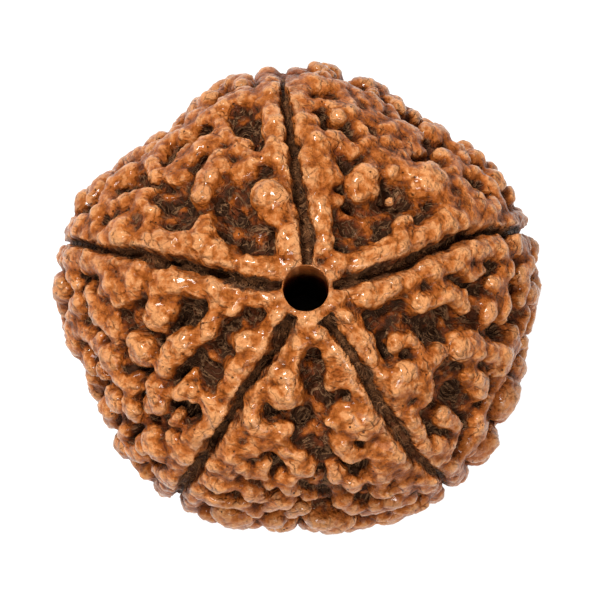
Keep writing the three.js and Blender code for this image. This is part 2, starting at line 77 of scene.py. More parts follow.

# %% [markdown]
# ## Routes drawn on the upper side
# The ridges of a real seed follow no formula, so the ones in view are drawn over a picture seen from just
# off the hole's axis. A drawing unit is a pixel of the reference photograph, with x to the right and y
# down. Each ridge row holds its half width and then the places x, y along its crest. A row with one place
# is a knob.

# %% Grooves, from the hole outwards
UNITS_PER_MM = 22
DRAWING_CENTRE = (300, 297)
EYE_LEAN = math.radians(4)
EYE_DISTANCE = 200
GROOVES = {
    "east": [333, 283, 360, 278, 395, 268, 420, 257, 445, 246, 470, 235, 497, 228, 522, 231],
    "north": [306, 264, 308, 240, 303, 210, 298, 180, 294, 150, 290, 125, 286, 100, 284, 82],
    "west": [281, 287, 250, 281, 220, 274, 190, 266, 160, 259, 130, 253, 100, 249, 68, 241],
    "south_west": [292, 316, 280, 338, 262, 368, 245, 393, 226, 424, 207, 452, 192, 474, 180, 493],
    "south_east": [327, 317, 345, 345, 365, 377, 383, 405, 401, 436, 420, 463, 445, 484],
}
print(len(GROOVES), "grooves")

# %% Ridges of each face: half width, then x, y along the crest
FACE_RIDGES = {
    "north_west": [
        [9, 280, 268, 262, 268, 245, 265, 230, 260, 218, 256],
        [11, 214, 252, 204, 246, 190, 241, 176, 240, 163, 241, 152, 242], [8, 206, 240, 201, 228, 199, 219],
        [12, 290, 245, 291, 232], [9, 285, 221, 277, 211, 268, 207], [15, 270, 190, 262, 190],
        [9, 283, 176, 284, 166, 281, 158], [9, 280, 156, 274, 148, 262, 150, 250, 155, 241, 163, 236, 169],
        [9, 276, 146, 273, 133, 275, 118, 273, 104, 264, 95, 250, 89, 236, 90, 224, 97, 216, 107],
        [7, 216, 113, 219, 125, 228, 134, 242, 138], [8, 256, 84, 240, 82, 226, 89], [7, 272, 74, 274, 84],
        [11, 206, 108, 193, 110], [11, 217, 152, 211, 165, 203, 176, 196, 188],
        [8, 211, 141, 202, 137, 193, 143, 186, 152], [8, 183, 141, 175, 147],
        [8, 172, 157, 165, 166, 170, 173, 178, 170], [10, 148, 168, 145, 157, 154, 147],
        [11, 165, 136, 155, 146], [9, 187, 125, 176, 129], [9, 140, 152, 134, 158],
        [12, 120, 170, 108, 179], [8, 100, 190, 98, 200], [8, 139, 190, 126, 194, 114, 199, 104, 205],
        [9, 134, 203, 143, 210], [15, 113, 230], [9, 98, 237], [9, 129, 241, 141, 237],
        [7, 141, 219, 150, 226], [12, 88, 211], [9, 76, 222], [10, 85, 229, 78, 236],
        [5, 233, 143, 240, 147],
    ],
    "north_east": [
        [9, 324, 243, 322, 228, 322, 212, 322, 196, 324, 182], [12, 327, 168, 325, 156],
        [9, 319, 145, 316, 133, 312, 122, 308, 112], [8, 302, 113, 303, 122],
        [8, 326, 136, 336, 130, 345, 134, 352, 143], [9, 337, 268, 342, 262],
        [9, 352, 259, 366, 257, 380, 254, 392, 250], [11, 402, 245, 414, 238, 426, 234],
        [10, 438, 227, 447, 219, 456, 212], [10, 469, 216, 477, 209, 475, 199], [8, 463, 196, 455, 200],
        [7, 405, 223, 412, 219], [10, 380, 146, 376, 157], [14, 370, 171, 366, 176],
        [8, 362, 186, 374, 183], [14, 429, 177, 438, 177], [9, 447, 184, 446, 193],
        [9, 398, 166, 410, 163, 424, 163], [7, 388, 156, 396, 150],
        [7, 383, 141, 392, 133, 403, 137, 408, 146], [9, 412, 129, 424, 127], [11, 436, 125, 447, 128],
        [7, 415, 142, 426, 143], [9, 452, 150, 462, 158, 461, 168], [9, 464, 143, 471, 153],
        [8, 478, 166, 488, 170, 497, 180, 505, 191, 511, 203], [9, 483, 190, 487, 200, 496, 207, 503, 203],
        [8, 517, 218, 524, 225], [7, 505, 222], [8, 465, 180, 474, 186], [10, 297, 90, 300, 78, 311, 71],
        [9, 318, 78, 328, 74, 339, 80, 347, 91, 351, 104], [7, 341, 107, 336, 98], [7, 309, 97, 318, 93],
        [8, 322, 67, 335, 72, 348, 76], [8, 358, 84, 362, 93], [8, 372, 88, 380, 98],
        [9, 391, 98, 399, 108], [8, 402, 118, 396, 125], [7, 368, 110, 377, 105, 386, 112, 384, 122],
        [6, 362, 118, 368, 126], [6, 366, 137, 378, 133], [4, 396, 195], [5, 341, 194],
    ],
    "south_west": [
        [9, 284, 304, 272, 299, 259, 296, 247, 294], [10, 236, 292, 222, 290, 208, 288, 194, 288],
        [13, 167, 283, 160, 284], [9, 183, 284], [9, 150, 290], [12, 230, 302, 226, 309],
        [9, 214, 299, 211, 311], [11, 207, 322, 203, 333], [9, 192, 343, 180, 344, 171, 351, 163, 361],
        [9, 158, 370, 157, 381], [11, 149, 392, 151, 404], [9, 143, 411, 153, 413],
        [9, 282, 313, 276, 324, 268, 335, 261, 345], [9, 250, 350, 243, 346], [13, 232, 373], [9, 243, 372],
        [10, 231, 386, 230, 392], [7, 188, 398, 180, 393, 171, 398], [10, 204, 406, 213, 413, 212, 424],
        [9, 205, 432, 194, 441, 185, 441], [6, 171, 423, 168, 429], [12, 151, 312, 150, 318], [7, 164, 309],
        [14, 122, 277, 127, 283], [8, 137, 269, 131, 264], [12, 103, 283, 97, 288], [9, 113, 295],
        [12, 77, 262, 83, 258], [9, 62, 274, 66, 281], [9, 93, 263, 98, 270],
        [8, 79, 292, 88, 303, 87, 313, 97, 320], [8, 103, 325, 108, 334, 108, 343], [6, 96, 309, 105, 312],
        [11, 129, 348, 137, 355], [9, 131, 362], [12, 102, 361], [8, 92, 352], [9, 68, 304, 64, 316],
        [9, 70, 330, 80, 339], [8, 91, 341, 84, 347], [9, 78, 357, 82, 368], [8, 92, 376],
        [8, 113, 385, 122, 391], [9, 104, 402, 110, 409], [9, 123, 411, 127, 422], [8, 116, 437, 118, 448],
        [8, 125, 458, 136, 464], [11, 147, 449, 153, 457], [11, 178, 460], [8, 165, 466], [7, 165, 446],
        [8, 150, 480, 160, 486, 172, 484],
    ],
    "south": [
        [12, 312, 322], [11, 313, 335], [9, 301, 345, 295, 358], [11, 288, 372, 285, 384], [15, 284, 398],
        [9, 328, 345, 338, 356, 346, 368, 354, 381, 361, 394, 368, 406], [10, 374, 418, 377, 430],
        [10, 338, 424, 352, 418, 364, 420], [12, 352, 430, 366, 431],
        [8, 341, 446, 345, 457, 356, 463, 369, 461, 378, 452], [8, 334, 384, 334, 389],
        [12, 249, 429, 254, 438], [9, 267, 445, 279, 446], [7, 276, 436, 284, 438],
        [9, 230, 452, 231, 464, 239, 473, 249, 480], [7, 258, 482, 262, 471],
        [8, 246, 457, 258, 452, 272, 453, 285, 458], [10, 297, 466, 303, 475], [8, 383, 441, 391, 449],
        [10, 392, 457, 401, 465, 402, 476], [9, 384, 470, 390, 480], [8, 371, 486, 383, 489], [9, 340, 485],
        [9, 355, 492], [8, 334, 475], [9, 408, 489, 413, 499], [8, 398, 497, 385, 500],
        [10, 213, 473, 222, 480], [8, 204, 488, 216, 492, 229, 494], [8, 193, 500, 207, 507, 222, 512],
        [8, 248, 500, 258, 508], [8, 268, 492], [10, 286, 488, 291, 499], [8, 283, 510, 270, 516],
        [8, 252, 520, 240, 514], [8, 292, 524, 303, 519], [8, 311, 507], [9, 345, 512, 358, 519],
        [9, 372, 521, 384, 514], [9, 398, 510, 412, 507],
    ],
    "south_east": [
        [9, 336, 303, 345, 296, 357, 296], [10, 370, 297, 384, 293, 398, 287],
        [9, 411, 281, 424, 275, 437, 269, 450, 264], [10, 458, 261, 470, 255],
        [9, 482, 249, 494, 244, 506, 245, 514, 254], [8, 517, 266, 511, 277, 503, 284],
        [7, 471, 268, 482, 274, 490, 268], [9, 344, 313, 352, 322, 359, 332, 366, 344],
        [7, 372, 355, 379, 366, 386, 377], [14, 408, 384], [10, 421, 388],
        [9, 430, 377, 438, 366, 446, 357], [10, 429, 395, 426, 407], [9, 416, 416, 416, 428, 424, 438],
        [7, 402, 347, 409, 342, 419, 343, 426, 352, 427, 363, 421, 372], [10, 426, 303, 436, 299, 447, 293],
        [8, 458, 292, 467, 296], [8, 471, 309], [12, 470, 350, 483, 352], [12, 498, 354, 508, 362],
        [8, 466, 342, 480, 340], [7, 505, 291, 513, 294], [8, 499, 309, 494, 320], [7, 513, 305, 511, 318],
        [9, 478, 378, 487, 386, 489, 397], [8, 448, 424, 458, 427, 463, 437, 459, 448],
        [10, 446, 453, 434, 456], [8, 424, 452], [9, 437, 468, 450, 465], [9, 524, 238, 532, 246],
        [10, 537, 264, 532, 274], [8, 533, 290, 531, 302], [9, 534, 315, 530, 327], [8, 520, 338, 526, 350],
        [8, 519, 359, 512, 369], [8, 507, 382, 503, 393], [8, 498, 402, 494, 413], [9, 486, 425, 487, 437],
        [9, 479, 448, 476, 459], [8, 466, 467, 459, 476], [9, 447, 482, 434, 486],
    ],
}
print(sum(len(rows) for rows in FACE_RIDGES.values()), "ridges drawn by hand")

# %% [markdown]
# ## From a drawing to the seed
# An eye above the seed sees each drawing unit along a ray. Stepping down that ray until it meets the outer
# form gives the direction of the place from the seed's middle. All places are stepped together as one
# array, which is much faster in Blender than a loop over single points.

# %% Directions and the outer form
RIGHT = np.array([1.0, 0.0, 0.0])
UP = np.array([0.0, math.cos(EYE_LEAN), math.sin(EYE_LEAN)])
TO_EYE = np.array([0.0, -math.sin(EYE_LEAN), math.cos(EYE_LEAN)])
TURN = 2 * math.pi
RAY_STEP = 0.05


def unit(vectors):
    return vectors / np.linalg.norm(vectors, axis=-1, keepdims=True)


def towards(azimuth, polar):
    """A direction by its azimuth and its angle from the upper pole."""
    flat = math.sin(polar)
    return np.array([flat * math.cos(azimuth), flat * math.sin(azimuth), math.cos(polar)])


CORNER_AZIMUTHS = []
for route in GROOVES.values():
    across, up = route[-2] - DRAWING_CENTRE[0], DRAWING_CENTRE[1] - route[-1]
    CORNER_AZIMUTHS.append(math.atan2(up, across) % TURN)
FACE_SPANS = [(CORNER_AZIMUTHS[(i + 1) % 5] - CORNER_AZIMUTHS[i]) % TURN for i in range(5)]


def outer_form(directions):
    """Distance from the middle of the seed to its outer form, in each direction."""
    azimuth = np.arctan2(directions[:, 1], directions[:, 0])
    corners, sides = list(CORNER_RADII.values()), list(SIDE_RADII.values())
    plan = np.zeros(len(directions))
    for i, (start, span) in enumerate(zip(CORNER_AZIMUTHS, FACE_SPANS)):
        share = ((azimuth - start) % TURN) / span
        corner = np.where(share < 0.5, corners[i], corners[(i + 1) % 5])
        bulge = 0.5 * (1 + np.cos(TURN * share))
        plan = np.where(share <= 1, sides[i] + (corner - sides[i]) * bulge, plan)
    outward = np.hypot(directions[:, 0], directions[:, 1]) / plan
    upward = np.abs(directions[:, 2]) / HALF_HEIGHT
    return (outward**PROFILE_POWER + upward**PROFILE_POWER) ** (-1 / PROFILE_POWER)


def from_drawing(places):
    """Directions of the places that drawing units x, y show."""
    across = (places[:, 0] - DRAWING_CENTRE[0]) / UNITS_PER_MM
    up = (DRAWING_CENTRE[1] - places[:, 1]) / UNITS_PER_MM
    flat = np.outer(across, RIGHT) + np.outer(up, UP)
    found = flat.copy()
    looking = np.ones(len(places), dtype=bool)
    for depth in np.arange(HALF_HEIGHT + 1, 0, -RAY_STEP):
        here = flat * (1 - depth / EYE_DISTANCE) + depth * TO_EYE
        found[looking] = here[looking]
        looking &= np.linalg.norm(here, axis=1) > outer_form(unit(here))
    return unit(found)


def route_directions(route):
    return from_drawing(np.array(route, dtype=float).reshape(-1, 2))


print("Plan radius to the east", round(float(outer_form(np.array([[1.0, 0, 0]]))[0]), 2), "mm")

# %% [markdown]
# ## Grooves and ridges as lines of directions
# Grooves go on down the hidden side to the lower pole. The other ridges follow a seeded rule. Two uneven
# ridges border each groove from pole to pole, and a blunt tip ends each face at the lower pole. On the
# hidden side winding ridges start at evenly spread places and stop before they run into a neighbour. So
# that side has the same look and density as the drawn one, and comes out the same each time.

# %% Grooves
STEP_DOWN = math.radians(7.5)
FIRST_LOWER = math.radians(98)

groove_lines = []
for route, azimuth in zip(GROOVES.values(), CORNER_AZIMUTHS):
    lower = [towards(azimuth, polar) for polar in np.arange(FIRST_LOWER, math.pi, STEP_DOWN)]
    groove_lines.append(np.vstack([route_directions(route), *lower, towards(azimuth, math.pi)]))


def groove_half_width(directions):
    """Half width of a groove, widest at the poles."""
    return GROOVE_HALF_WIDTH * (EQUATOR_SHARE + (1 - EQUATOR_SHARE) * np.abs(directions[..., 2]) ** 0.5)


def segments_of(lines):
    """Starts and ends of all stretches of some lines. A line with one place is a stretch of no length."""
    starts = np.vstack([line[:-1] if len(line) > 1 else line for line in lines])
    ends = np.vstack([line[1:] if len(line) > 1 else line for line in lines])
    return starts, ends


def distances(directions, starts, ends):
    """Distance of each direction from each stretch, on the unit sphere."""
    along = ends - starts
    length = np.maximum((along**2).sum(axis=1), 1e-12)
    share = ((directions[:, None] - starts) * along).sum(axis=2) / length
    nearest = starts + np.clip(share, 0, 1)[:, :, None] * along
    return np.linalg.norm(directions[:, None] - nearest, axis=2)


GROOVE_STRETCHES = segments_of(groove_lines)
BLOCKS = 40  # all directions at once would take too much memory


def groove_distance(directions):
    """Distance of each direction from the nearest groove, in millimetres."""
    form = outer_form(directions)
    blocks = np.array_split(directions, BLOCKS)
    return np.concatenate([distances(block, *GROOVE_STRETCHES).min(axis=1) for block in blocks]) * form


print(len(GROOVE_STRETCHES[0]), "stretches of groove")

# %% Ridges: each is a half width and a line
ridges = []
for rows in FACE_RIDGES.values():
    for half, *route in rows:
        ridges.append((half / UNITS_PER_MM, route_directions(route)))
drawn_ridges = len(ridges)

LOWER_STARTS = 900
LOWER_FROM = 0.42  # the cosine between a place and the eye, above which all ridges are drawn
LOWER_HALF_WIDTHS = (0.4, 0.72)
LOWER_STEP = 0.95
LOWER_MOST_STRETCHES = 4
LOWER_TURN = 1.3
LOWER_SPACING = 1.12  # of the two half widths, between the lines of neighbours
UPPER_BORDER_HALF_WIDTHS = (0.28, 0.4)
LOWER_BORDER_HALF_WIDTHS = (0.36, 0.52)
BORDER_ASIDE = (0.8, 1.3)  # of its half width, from the groove's wall to a border ridge
BORDER_FROM_AXIS = 1.5
LAST_BORDER = math.radians(167)
LOWER_SEED = 20
DRAW_FACTOR, DRAW_STEP, DRAW_RANGE = 1664525, 1013904223, 4294967296
state = LOWER_SEED


def draw_number():
    """An evenly spread number from 0 to 1, from a seeded row of them."""
    global state
    state = (state * DRAW_FACTOR + DRAW_STEP) % DRAW_RANGE
    return state / DRAW_RANGE


def drawn_from(limits):
    least, most = limits
    return least + (most - least) * draw_number()


def add_border_ridges():
    for line in groove_lines:
        along = unit(np.gradient(line, axis=0))
        for hand in (-1, 1):
            border = []
            for place, heading in zip(line, along):
                form = outer_form(place[None])[0]
                if place[2] > 0 and np.linalg.norm(place[:2] * form - HOLE_PLACE) < BORDER_FROM_AXIS:
                    continue
                if place[2] < math.cos(LAST_BORDER):
                    break
                half = drawn_from(UPPER_BORDER_HALF_WIDTHS if place[2] > 0 else LOWER_BORDER_HALF_WIDTHS)
                away = groove_half_width(place) + half * drawn_from(BORDER_ASIDE)
                border.append(unit(place + hand * np.cross(place, heading) * away / form))
                if len(border) > 1:
                    ridges.append((half, np.array(border[-2:])))


def add_tips():
    angles = [math.pi - math.atan(reach / HALF_HEIGHT) for reach in TIP_REACH]
    for start, span in zip(CORNER_AZIMUTHS, FACE_SPANS):
        ridges.append((TIP_HALF_WIDTH, np.array([towards(start + span / 2, polar) for polar in angles])))


def stepped(direction, heading, length):
    east = unit(np.array([-direction[1], direction[0], 0]))
    north = np.cross(direction, east)
    return unit(direction + (math.cos(heading) * east + math.sin(heading) * north) * length)


def add_winding_ridges():
    golden = math.pi * (3 - math.sqrt(5))
    for i in range(LOWER_STARTS):
        height = 1 - 2 * (i + 0.5) / LOWER_STARTS
        flat = math.sqrt(1 - height**2)
        place = np.array([flat * math.cos(i * golden), flat * math.sin(i * golden), height])
        heading = TURN * draw_number()
        half = drawn_from(LOWER_HALF_WIDTHS)
        stretches = int(draw_number() * (LOWER_MOST_STRETCHES + 1))
        if place @ TO_EYE > LOWER_FROM:
            continue
        starts, ends = segments_of([line for _, line in ridges])
        halves = np.concatenate([np.full(max(1, len(line) - 1), width) for width, line in ridges])
        line = []
        for _ in range(stretches + 1):
            form = outer_form(place[None])[0]
            crowded = distances(place[None], starts, ends)[0] * form < (half + halves) * LOWER_SPACING
            aside = distances(place[None], *GROOVE_STRETCHES).min() * form
            if crowded.any() or aside < groove_half_width(place) + half:
                break
            line.append(place)
            heading += LOWER_TURN * (2 * draw_number() - 1)
            place = stepped(place, heading, LOWER_STEP / form)
        if line:
            ridges.append((half, np.array(line)))


add_border_ridges()
add_tips()
add_winding_ridges()
print(len(ridges), "ridges,", len(ridges) - drawn_ridges, "of them by rule")

# %% [markdown]
# ## The body under the net
# The valleys lie on a body that is the outer form shrunk by the valley depth. A fine sphere, each vertex
# moved out to its own height, makes it. The grooves are pressed into it, and so are the pits that show
# black in the picture.

# %% Pits: x, y, radius
PITS = [
    (243, 117, 12), (232, 212, 10), (225, 236, 5), (160, 196, 9), (214, 197, 8),
    (325, 104, 11), (345, 120, 8), (355, 137, 7), (350, 194, 9), (398, 190, 12), (425, 148, 6),
    (170, 326, 9), (135, 326, 8), (115, 310, 6), (125, 373, 9), (172, 386, 7), (200, 385, 7),
    (178, 421, 12), (315, 362, 11), (320, 398, 9), (270, 425, 10), (270, 474, 9), (300, 428, 8),
    (385, 460, 6), (245, 493, 6), (453, 308, 8), (480, 262, 6), (485, 290, 9), (465, 402, 12),
    (449, 330, 8), (400, 360, 8),
]
CORE_SUBDIVISIONS = 7
COLLAR_REACH = (1.35, 3.4)  # from the hole's axis: a groove is shallow up to the first, full at the second
COLLAR_DEPTH = 0.6  # from the outer form down to the collar round the hole
COLLAR_SLOPE = 1.2
FLOOR_RISE = 0.4  # from the middle of a groove's floor to its sides
FLOOR_POWER = 4
PIT_DEPTH = 1.6  # for each millimetre of the pit's radius


def from_axis(directions, form):
    return np.linalg.norm(directions[:, :2] * form[:, None] - HOLE_PLACE, axis=1)


def opening(directions, form):
    """How far the grooves have opened: 0 at the collar round the hole, 1 where they are in full."""
    start, end = COLLAR_REACH
    return np.clip((from_axis(directions, form) - start) / (end - start), 0, 1)


def full_groove_depth(directions):
    """Depth of a groove under the outer form, less at the equator, with no regard to the collar."""
    return EQUATOR_GROOVE_DEPTH + (GROOVE_DEPTH - EQUATOR_GROOVE_DEPTH) * np.abs(directions[:, 2]) ** 0.5


def groove_depth(directions, form):
    """Depth of a groove under the outer form, shallow at the collar."""
    return COLLAR_DEPTH + (full_groove_depth(directions) - COLLAR_DEPTH) * opening(directions, form)


def valley_height(directions):
    """Height of the valley floors from the seed's middle, in millimetres, with grooves and pits."""
    form = outer_form(directions)
    height = form - VALLEY_DEPTH
    pits = np.array(PITS, dtype=float)
    for centre, radius in zip(from_drawing(pits[:, :2]), pits[:, 2] / UNITS_PER_MM):
        aside = np.linalg.norm(directions - centre, axis=1) * form / radius
        height -= PIT_DEPTH * radius * np.exp(-(aside**2))
    beyond_collar = np.maximum(from_axis(directions, form) - COLLAR_REACH[0], 0)
    height = np.maximum(height, form - COLLAR_DEPTH - COLLAR_SLOPE * beyond_collar)
    share = np.clip(groove_distance(directions) / groove_half_width(directions), 0, 1)
    floors = form - groove_depth(directions, form) + FLOOR_RISE * share**FLOOR_POWER
    return np.where(share < 1, np.minimum(height, floors), height)


def core_mesh():
    made = bmesh.new()
    bmesh.ops.create_icosphere(made, subdivisions=CORE_SUBDIVISIONS, radius=1)
    mesh = bpy.data.meshes.new("core")
    made.to_mesh(mesh)
    made.free()
    directions = np.empty(len(mesh.vertices) * 3)
    mesh.vertices.foreach_get("co", directions)
    directions = unit(directions.reshape(-1, 3))
    mesh.vertices.foreach_set("co", (directions * valley_height(directions)[:, None]).ravel())
    return mesh


# %% [markdown]
# ## The net as a skeleton
# The ridge lines become bare edges in the same mesh as the body, each vertex with its half width as an
# attribute. Geometry Nodes will put the flesh on them, so the whole net can be made thicker or rounder in
# one place.

# %% Body and skeleton in one mesh
core = core_mesh()
core_count = len(core.vertices)
net_points, net_halves, net_edges = [], [], []
for half, line in ridges:
    top = outer_form(line) + (half - LEVEL_RIDGE) * RISE_OF_WIDTH
    first = core_count + len(net_points)
    net_points.extend(line * (top - half)[:, None])
    net_halves.extend([half] * len(line))
    net_edges.extend((first + i, first + i + 1) for i in range(len(line) - 1))

made = bmesh.new()
made.from_mesh(core)
for point in net_points:
    made.verts.new(point)
made.verts.ensure_lookup_table()
for a, b in net_edges:
    made.edges.new((made.verts[a], made.verts[b]))
seed_mesh = bpy.data.meshes.new("rudraksha_stone")
made.to_mesh(seed_mesh)
made.free()
bpy.data.meshes.remove(core)
halves = seed_mesh.attributes.new("half_width", "FLOAT", "POINT")
halves.data.foreach_set("value", np.concatenate([np.zeros(core_count), net_halves]))
seed = bpy.data.objects.new("rudraksha_stone", seed_mesh)
bpy.context.collection.objects.link(seed)
print(core_count, "vertices in the body and", len(net_points), "in the skeleton")

# %% [markdown]
# ## A small language for node trees
# Wiring nodes one by one hides the thought behind them. This class holds one socket and lets Python's
# arithmetic add the Math nodes, so that a formula reads as a formula. Any other node comes from `node`: its
# type, its settings, then the values or wires of its sockets.

# %% Wires and benches
def sign(operation, reflected=False):
    """A method that adds a Math node, also for its reflected form, in which the wire comes second."""

    def method(wire, other):
        return wire.bench.math(operation, *((other, wire) if reflected else (wire, other)))

    return method


class Wire:
    """An output socket of a node tree."""

    def __init__(self, bench, socket):
        self.bench, self.socket = bench, socket

    __add__, __radd__ = sign("ADD"), sign("ADD", reflected=True)
    __sub__, __rsub__ = sign("SUBTRACT"), sign("SUBTRACT", reflected=True)
    __mul__, __rmul__ = sign("MULTIPLY"), sign("MULTIPLY", reflected=True)
    __truediv__, __pow__ = sign("DIVIDE"), sign("POWER")


class Bench:
    """A node tree, and short ways to add to it."""

    def __init__(self, tree):
        self.tree = tree

    def node(self, kind, settings=None, values=None):
        made = self.tree.nodes.new(kind)
        for name, setting in (settings or {}).items():
            if name == "stops":
                self.set_stops(made.color_ramp, setting)
            else:
                setattr(made, name, setting)
        for name, value in (values or {}).items():
            for one in value if isinstance(value, list) else [value]:
                if isinstance(one, Wire):
                    self.tree.links.new(one.socket, made.inputs[name])
                else:
                    made.inputs[name].default_value = one
        return made

    def wire(self, kind, settings=None, values=None, output=0):
        return Wire(self, self.node(kind, settings, values).outputs[output])

    def set_stops(self, ramp, stops):
        while len(ramp.elements) < len(stops):
            ramp.elements.new(1)
        for element, (place, colour) in zip(ramp.elements, stops):
            element.position, element.color = place, colour

    def math(self, operation, *values, clamp=False):
        settings = {"operation": operation, "use_clamp": clamp}
        return self.wire("ShaderNodeMath", settings, dict(enumerate(values)))

    def vector(self, operation, *values, output=0):
        return self.wire("ShaderNodeVectorMath", {"operation": operation}, dict(enumerate(values)), output)

    def scaled(self, vector, factor):
        return self.wire("ShaderNodeVectorMath", {"operation": "SCALE"}, {0: vector, "Scale": factor})

    def coordinates(self, vector):
        parted = self.node("ShaderNodeSeparateXYZ", values={0: vector})
        return [Wire(self, socket) for socket in parted.outputs]


STONE = bpy.data.materials.new("oiled seed stone")  # its own nodes come once there is a surface to look at


def add_nodes_modifier(piece, name, build, **sizes):
    """A Geometry Nodes modifier, from a function that builds its tree, with named number inputs."""
    tree = bpy.data.node_groups.new(name, "GeometryNodeTree")
    tree.interface.new_socket("Geometry", in_out="INPUT", socket_type="NodeSocketGeometry")
    sockets = {}
    for size in sizes:
        kind = "NodeSocketInt" if isinstance(sizes[size], int) else "NodeSocketFloat"
        sockets[size] = tree.interface.new_socket(size.replace("_", " "), in_out="INPUT", socket_type=kind)
    tree.interface.new_socket("Geometry", in_out="OUTPUT", socket_type="NodeSocketGeometry")
    bench = Bench(tree)
    entry = tree.nodes.new("NodeGroupInput")
    wires = {size: Wire(bench, entry.outputs[size.replace("_", " ")]) for size in sizes}
    result = build(bench, Wire(bench, entry.outputs["Geometry"]), **wires)
    result = bench.wire("GeometryNodeRealizeInstances", values={"Geometry": result})
    result = bench.wire("GeometryNodeSetMaterial", values={"Geometry": result, "Material": STONE})
    leave = tree.nodes.new("NodeGroupOutput")
    tree.links.new(result.socket, leave.inputs["Geometry"])
    modifier = piece.modifiers.new(name, "NODES")
    modifier.node_group = tree
    for size, value in sizes.items():
        modifier[sockets[size].identifier] = value
    return modifier


# %% [markdown]
# ## Flesh on the skeleton
# A ridge of a rudraksha looks like a row of melted beads, so that is how it is made: beads stand close
# together along every ridge line, each swelling or shrinking a little, and each with a stem that goes down
# into the body. A tube along the line would be lighter, but it would look like a wire. Then one voxel
# remesh melts beads and body into a single skin, as the stone is one piece.

# %% Beads on every ridge line
def build_ridge_net(
    bench, geometry, bead_spacing, stem_length, swell, crumb_spacing, flank_stray, flank_drop, worm_height
):
    half = bench.wire("GeometryNodeInputNamedAttribute", {"data_type": "FLOAT"}, {"Name": "half_width"})
    is_net = bench.wire("FunctionNodeCompare", {"operation": "GREATER_THAN"}, {0: half, 1: 0.001})
    parts = {"Geometry": geometry, "Selection": is_net}
    split = bench.node("GeometryNodeSeparateGeometry", {"domain": "POINT"}, parts)
    skeleton, body = Wire(bench, split.outputs[0]), Wire(bench, split.outputs[1])
    lines = bench.wire("GeometryNodeMeshToCurve", values={"Mesh": skeleton})

    def resampled(spacing):
        values = {"Curve": lines, "Length": spacing}
        return bench.wire("GeometryNodeResampleCurve", {"mode": "LENGTH"}, values)

    place = bench.wire("GeometryNodeInputPosition")
    outward = bench.wire("FunctionNodeAlignRotationToVector", {"axis": "Z"}, {"Vector": place})
    swelling = bench.wire("ShaderNodeTexNoise", values={"Vector": place, "Scale": 1.1, "Detail": 1.0})
    size = half * (1.16 + swell * (swelling - 0.5))

    ball = bench.wire("GeometryNodeMeshIcoSphere", values={"Radius": 1.0, "Subdivisions": 3})
    x, y, z = bench.coordinates(place)
    below = bench.math("MINIMUM", z, 0.0)
    above = bench.math("MAXIMUM", z, 0.0)
    flare = 1 - 0.2 * below
    upright = above * 0.72 + below * (1 + stem_length)
    stemmed = bench.wire("ShaderNodeCombineXYZ", values={0: x * flare, 1: y * flare, 2: upright})
    bead = bench.wire("GeometryNodeSetPosition", values={"Geometry": ball, "Position": stemmed})

    chance = {"Min": (-1.0, -1.0, -1.0), "Max": (1.0, 1.0, 1.0), "Seed": 5}
    jitter = bench.wire("FunctionNodeRandomValue", {"data_type": "FLOAT_VECTOR"}, chance)
    strayed = bench.vector("ADD", bench.scaled(place, 1 - flank_drop), bench.scaled(jitter, flank_stray))
    moved = {"Geometry": resampled(crumb_spacing), "Position": strayed}
    crumbs = bench.wire("GeometryNodeSetPosition", values=moved)
    crumb_size = half * bench.wire("FunctionNodeRandomValue", values={2: 0.4, 3: 0.75, "Seed": 9}, output=1)

    rows = []
    for points, scale in ((resampled(bead_spacing), size), (skeleton, size), (crumbs, crumb_size)):
        values = {"Points": points, "Instance": bead, "Rotation": outward, "Scale": scale}
        rows.append(bench.wire("GeometryNodeInstanceOnPoints", values=values))
    beads = bench.wire("GeometryNodeJoinGeometry", values={0: rows})
    wander = bench.wire("ShaderNodeTexNoise", values={"Vector": place, "Scale": 0.75, "Detail": 2.0})
    worms = bench.math("MAXIMUM", 1 - 6 * bench.math("ABSOLUTE", wander - 0.5), 0.0)
    rough = bench.wire("ShaderNodeTexNoise", values={"Vector": place, "Scale": 1.8, "Detail": 2.0})
    lift = worm_height * worms + 0.8 * worm_height * (rough - 0.5)
    away = bench.scaled(bench.vector("NORMALIZE", place), lift)
    body = bench.wire("GeometryNodeSetPosition", values={"Geometry": body, "Offset": away})
    return bench.wire("GeometryNodeJoinGeometry", values={0: [body, beads]})


add_nodes_modifier(
    seed, "ridge net", build_ridge_net,
    bead_spacing=0.2, stem_length=1.6, swell=1.7, crumb_spacing=0.4, flank_stray=0.38, flank_drop=0.025,
    worm_height=0.6,
)

# %% One skin over body and beads
VOXEL = 0.14
melt = seed.modifiers.new("melt", "REMESH")
melt.mode = "VOXEL"
melt.voxel_size = VOXEL
melt.use_smooth_shade = True
print("The skin is made of cubes of", VOXEL, "mm")

# %% [markdown]
# ## Drilling, wear and steep groove walls
# The cord hole is drilled right through, and the lower pole is worn flat where the seed stands. The grooves
# of the real seed have steep walls, but the melted skin leaves soft ones, so a long wedge of uneven width
# is cut out along each. The wedge stops above the bottom of the groove, which stays as rough as the net
# left it. All of them are closed shapes taken away from the skin, and such cuts keep it one closed mesh.

# %% Cutters
def cutter(name, make):
    made = bmesh.new()
    make(made)
    mesh = bpy.data.meshes.new(name)
    made.to_mesh(mesh)
    made.free()
    tool = bpy.data.objects.new(name, mesh)
    bpy.context.collection.objects.link(tool)
    tool.hide_render = True
    return tool


HOLE_SIDES = 48
CUT_GRID = 0.2  # the cutters' own mesh is as fine as the skin, so that the cut faces can be smoothed with it
WEAR_CELLS = 64
WEAR_DROP = 3


def join_rings(made, rings):
    """Closes a row of rings of vertices into a solid."""
    for lower, upper in zip(rings, rings[1:]):
        for i in range(len(lower)):
            j = (i + 1) % len(lower)
            made.faces.new((lower[i], lower[j], upper[j], upper[i]))
    made.faces.new(rings[0][::-1])
    made.faces.new(rings[-1])
    bmesh.ops.recalc_face_normals(made, faces=made.faces)


